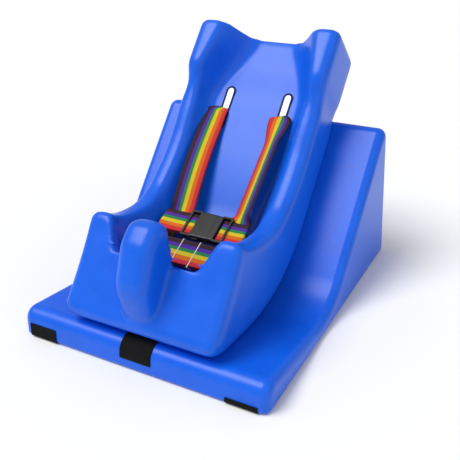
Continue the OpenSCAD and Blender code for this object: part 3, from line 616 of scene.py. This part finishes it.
def grain_group():
    """Fine pebbled skin: small cells over soft noise. Height is its relief and Tone its slow mottling."""
    tree, start, end = group("fine_grain", {"Vector": "NodeSocketVector", "Scale": "NodeSocketFloat"},
                             {"Height": "NodeSocketFloat", "Tone": "NodeSocketFloat"})
    point, scale = start.outputs["Vector"], start.outputs["Scale"]
    cells = node(tree, "TexVoronoi", {"Vector": point, "Scale": scale})
    fine = node(tree, "TexNoise", {"Vector": point, "Scale": scale, "Detail": 3.0, "Roughness": 0.6})
    coarse = node(tree, "Math", {0: scale, 1: 0.03}, operation="MULTIPLY")
    slow = node(tree, "TexNoise", {"Vector": point, "Scale": coarse.outputs[0], "Detail": 2.0})
    both = node(tree, "Math", {0: cells.outputs["Distance"], 1: fine.outputs["Fac"]}, operation="ADD")
    tree.links.new(both.outputs[0], end.inputs["Height"])
    tree.links.new(slow.outputs["Fac"], end.inputs["Tone"])
    return tree


def weave_group():
    """Ribbed webbing: lengthwise cords crossed by a weft, as the product of two waves."""
    tree, start, end = group("weave", {"Vector": "NodeSocketVector", "Rows": "NodeSocketFloat",
                                       "Picks": "NodeSocketFloat"}, {"Height": "NodeSocketFloat"})
    parts = node(tree, "SeparateXYZ", {0: start.outputs["Vector"]})
    rows = node(tree, "Math", {0: parts.outputs["X"], 1: start.outputs["Rows"]}, operation="MULTIPLY")
    picks = node(tree, "Math", {0: parts.outputs["Y"], 1: start.outputs["Picks"]}, operation="MULTIPLY")
    shift = node(tree, "Math", {0: picks.outputs[0], 1: rows.outputs[0]}, operation="ADD")
    wave_a = node(tree, "Math", {0: rows.outputs[0]}, operation="SINE")
    wave_b = node(tree, "Math", {0: shift.outputs[0]}, operation="SINE")
    both = node(tree, "Math", {0: wave_a.outputs[0], 1: wave_b.outputs[0]}, operation="MULTIPLY")
    tree.links.new(both.outputs[0], end.inputs["Height"])
    return tree


GRAIN, WEAVE = grain_group(), weave_group()


def place_group(tree, which, inputs):
    """Puts a shared group into a material with its own values."""
    new = tree.nodes.new("ShaderNodeGroup")
    new.node_tree = which
    for key, value in inputs.items():
        if isinstance(value, bpy.types.NodeSocket):
            tree.links.new(value, new.inputs[key])
        else:
            new.inputs[key].default_value = value
    return new


def material(name, **fixed):
    """A material with a Principled shader, its constants set on the shader's own sockets."""
    mat = bpy.data.materials.new(name)
    mat.use_nodes = True
    shader = mat.node_tree.nodes["Principled BSDF"]
    for key, value in fixed.items():
        shader.inputs[key.replace("_", " ")].default_value = value
    return mat, mat.node_tree, shader


def span(tree, value, low, high):
    """Maps a 0 to 1 value onto a range."""
    return node(tree, "MapRange", {"Value": value, "To Min": low, "To Max": high}).outputs["Result"]


def bump(tree, shader, height, distance, strength=1.0):
    """Feeds a height into the shader's normal."""
    new = node(tree, "Bump", {"Height": height, "Distance": distance, "Strength": strength})
    tree.links.new(new.outputs["Normal"], shader.inputs["Normal"])


def grained(name, dark, light, scale, distance, rough, **fixed):
    """A skin with fine grain: its colour drifts between two tones and its roughness follows the drift."""
    mat, tree, shader = material(name, **fixed)
    coords = node(tree, "TexCoord").outputs["Object"]
    grain = place_group(tree, GRAIN, {"Vector": coords, "Scale": scale})
    mix = node(tree, "Mix", data_type="RGBA")
    mix.inputs[6].default_value, mix.inputs[7].default_value = (*dark, 1), (*light, 1)
    tree.links.new(grain.outputs["Tone"], mix.inputs["Factor"])
    tree.links.new(mix.outputs[2], shader.inputs["Base Color"])
    tree.links.new(span(tree, grain.outputs["Tone"], *rough), shader.inputs["Roughness"])
    bump(tree, shader, grain.outputs["Height"], distance)
    return mat


# Webbing stripes from the outer or upper edge: where each starts, and its colour
STRIPES = [(0.0, (0.060, 0.026, 0.040)), (0.19, (0.125, 0.040, 0.450)), (0.34, (0.032, 0.330, 0.090)),
           (0.47, (0.980, 0.760, 0.030)), (0.63, (0.980, 0.220, 0.015)), (0.79, (0.900, 0.045, 0.050))]
STRIPE_BLUR = 0.012


def webbing():
    """Woven webbing with lengthwise stripes, read across the webbing from its own map, darkened as painted
    shade where the weave lies low.
    """
    mat, tree, shader = material("webbing", Roughness=0.7, Specular_IOR_Level=0.25)
    coords = node(tree, "UVMap", uv_map="webbing").outputs["UV"]
    across = node(tree, "SeparateXYZ", {0: coords}).outputs["X"]
    ramp = node(tree, "ValToRGB", {"Fac": across})
    stops = ramp.color_ramp.elements
    stops[0].color, stops[1].position, stops[1].color = (*STRIPES[0][1], 1), 1.0, (*STRIPES[-1][1], 1)
    for (place, colour), (_, before) in zip(STRIPES[1:], STRIPES):
        stops.new(place - STRIPE_BLUR).color = (*before, 1)
        stops.new(place + STRIPE_BLUR).color = (*colour, 1)
    weave = place_group(tree, WEAVE, {"Vector": coords, "Rows": 150.0, "Picks": 2600.0})
    # Painted shade: the stripe colours are dimmed towards the weave's hollows.
    shade = span(tree, weave.outputs["Height"], 0.82, 1.0)
    dim = node(tree, "Mix", {"Factor": 1.0}, data_type="RGBA", blend_type="MULTIPLY")
    tree.links.new(ramp.outputs["Color"], dim.inputs[6])
    tree.links.new(shade, dim.inputs[7])
    tree.links.new(dim.outputs[2], shader.inputs["Base Color"])
    bump(tree, shader, weave.outputs["Height"], 0.25 * MM)
    return mat


# Light, floor and camera


def camera():
    """The photograph's camera: three unit axes turned by azimuth, height angle and roll."""
    a, e, r = CAMERA_TURN, CAMERA_TILT, CAMERA_ROLL
    back = np.array([np.sin(a) * np.cos(e), -np.cos(a) * np.cos(e), np.sin(e)])
    right = np.array([np.cos(a), np.sin(a), 0])
    up = np.cross(back, right)
    right, up = np.cos(r) * right + np.sin(r) * up, np.cos(r) * up - np.sin(r) * right
    axes = np.stack([right, up, back])
    place = -CAMERA_OFFSET @ axes + [CAMERA_NUDGE, FRONT_Y, 0]
    data = bpy.data.cameras.new("camera")
    data.sensor_width, data.lens = SENSOR, SENSOR * CAMERA_FOCAL / FRAME_PIXELS
    obj = bpy.data.objects.new("camera", data)
    pose = Matrix.Identity(4)
    for i in range(3):
        pose.col[i][:3] = axes[i]
    pose.col[3][:3] = place
    obj.matrix_world = pose
    bpy.context.scene.collection.objects.link(obj)
    bpy.context.scene.camera = obj


def sun(name, towards, strength, spread):
    """A distant lamp whose light comes from the given direction."""
    data = bpy.data.lights.new(name, "SUN")
    data.energy, data.angle = strength, np.radians(spread)
    obj = bpy.data.objects.new(name, data)
    z = unit(np.array(towards, float))
    x = unit(np.cross([0, 1, 0.1], z))
    pose = Matrix.Identity(4)
    for i, axis in enumerate((x, np.cross(z, x), z)):
        pose.col[i][:3] = axis
    obj.matrix_world = pose
    bpy.context.scene.collection.objects.link(obj)


def studio():
    """A pale floor under an even sky, a broad key from the front left and a weak fill from the right."""
    world = bpy.data.worlds.new("studio")
    world.use_nodes = True
    bpy.context.scene.world = world
    sky = world.node_tree.nodes["Background"]
    sky.inputs["Color"].default_value, sky.inputs["Strength"].default_value = (1, 1, 1, 1), 0.42
    sun("key", (-0.42, -0.36, 1.0), 2.1, 34)
    sun("fill", (0.85, -0.5, 0.55), 0.35, 60)
    floor = make_mesh("floor", [(-6, -6, 0), (6, -6, 0), (6, 6, 0), (-6, 6, 0)], [[0, 1, 2, 3]])
    mat, _, _ = material("floor", Base_Color=(0.97, 0.97, 0.97, 1), Roughness=0.9)
    floor.data.materials.append(mat)
    view = bpy.context.scene.view_settings
    view.view_transform = "Standard"


def dress(obj, mat, body, *nodes, slot=None):
    """Gives a new piece its material and the body it rides on, and hides the nodes it stands for."""
    obj.data.materials.clear()
    obj.data.materials.append(mat)
    if body:
        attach(obj, body)
    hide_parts(*nodes)
    return obj


camera()
studio()

FOAM = grained("coated_foam", (0.003, 0.105, 0.70), (0.005, 0.140, 0.86), 900.0, 0.05 * MM, (0.27, 0.37),
               Coat_Weight=0.08, Coat_Roughness=0.25, Specular_IOR_Level=0.3)
PLASTIC = grained("buckle_plastic", (0.005, 0.005, 0.006), (0.010, 0.010, 0.011), 1500.0, 0.03 * MM,
                  (0.3, 0.42))
RIM = grained("slot_rim", (0.002, 0.006, 0.06), (0.003, 0.008, 0.09), 1500.0, 0.02 * MM, (0.5, 0.6),
              Specular_IOR_Level=0.15)
# Inner walls of the slot liners: pale, with a painted glow from emission that stands in for the light seen
# through the slots.
GLOWING_TUBE = grained("slot_tube_painted_glow", (0.80, 0.82, 0.86), (0.88, 0.89, 0.92), 1500.0, 0.02 * MM, (0.4, 0.5),
               Emission_Color=(0.9, 0.93, 1, 1), Emission_Strength=0.45)
TAPE = grained("hook_and_loop", (0.003, 0.003, 0.003), (0.012, 0.012, 0.012), 700.0, 0.9 * MM, (0.85, 1.0),
               Specular_IOR_Level=0.15)
BAND = grained("tie_band", (0.72, 0.66, 0.42), (0.88, 0.84, 0.62), 1200.0, 0.1 * MM, (0.6, 0.75))
WEBBING = webbing()

wedge = round_sided("wedge_foam", wedge_outline, WEDGE_W, SIDE_R, 12)
wedge = dress(even_normals(wedge), FOAM, "wedge", "wedge_block", slot="coated_foam")
seat = dress(seat_foam(), FOAM, "seat", "seat_shell", slot="coated_foam")
for side_name, side, layer, lean, offset in (("left", -1, 0, 14, 11 * MM), ("right", 1, 1, 34, 1 * MM)):
    strap = shoulder_strap("shoulder_webbing_" + side_name, side, layer, np.radians(lean), offset)
    dress(strap, WEBBING, "seat" if side < 0 else None, "shoulder_strap_" + side_name, slot="webbing")
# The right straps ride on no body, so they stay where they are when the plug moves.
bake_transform(strap)
dress(lap_loop("lap_webbing_left", -LAP_END_X, SOCKET_BAR_X + LOOP_R), WEBBING, "seat", "lap_strap_left",
      slot="webbing")
strap = dress(lap_loop("lap_webbing_right", PLUG_BAR_X - LOOP_R, LAP_END_X), WEBBING, None, "lap_strap_right",
              slot="webbing")
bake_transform(strap)
dress(hip_strap(), WEBBING, "seat", "hip_strap", slot="webbing")
dress(strap_tail(), WEBBING, "seat", "strap_tail", slot="webbing")

# Small solids as bevelled copies: node, material, edge rounding, body, slot
for name, mat, width, body, slot in (
        ("wedge_loop_strip", TAPE, 0.3 * MM, "wedge", "loop_tape"),
        ("base_strip_left", TAPE, 0.3 * MM, "wedge", "loop_tape"),
        ("base_strip_right", TAPE, 0.3 * MM, "wedge", "loop_tape"),
        ("pan_hook_strip", TAPE, 0.3 * MM, "seat", "hook_tape"),
        ("back_hook_strip", TAPE, 0.3 * MM, "seat", "hook_tape"),
        ("slot_liner_left", RIM, 0.25 * MM, "seat", "liner_plastic"),
        ("slot_liner_right", RIM, 0.25 * MM, "seat", "liner_plastic"),
        ("buckle_socket", PLASTIC, 0.7 * MM, "seat", "buckle_plastic"),
        ("buckle_plug", PLASTIC, 0.7 * MM, "plug", "buckle_plastic"),
        ("buckle_arm_upper", PLASTIC, 0.6 * MM, "arm_upper", "buckle_plastic"),
        ("buckle_arm_lower", PLASTIC, 0.6 * MM, "arm_lower", "buckle_plastic"),
        ("tie_band_left", BAND, 0.3 * MM, "seat", "tie_band"),
        ("tie_band_right", BAND, 0.3 * MM, "seat", "tie_band")):
    piece = dress(bevelled(name, width), mat, body, name, slot=slot)
    # The liners' tops keep the dark rim material; the faces below take the pale walls with their painted
    # glow.
    if mat is RIM:
        piece.data.materials.append(GLOWING_TUBE)
        for face in piece.data.polygons:
            c = np.array(face.center)
            height = (BACK_START - (c[1] - FRONT_Y, c[2])) @ BACK_OUT
            face.material_index = int(height < PANEL_T - LINER_T / 2)
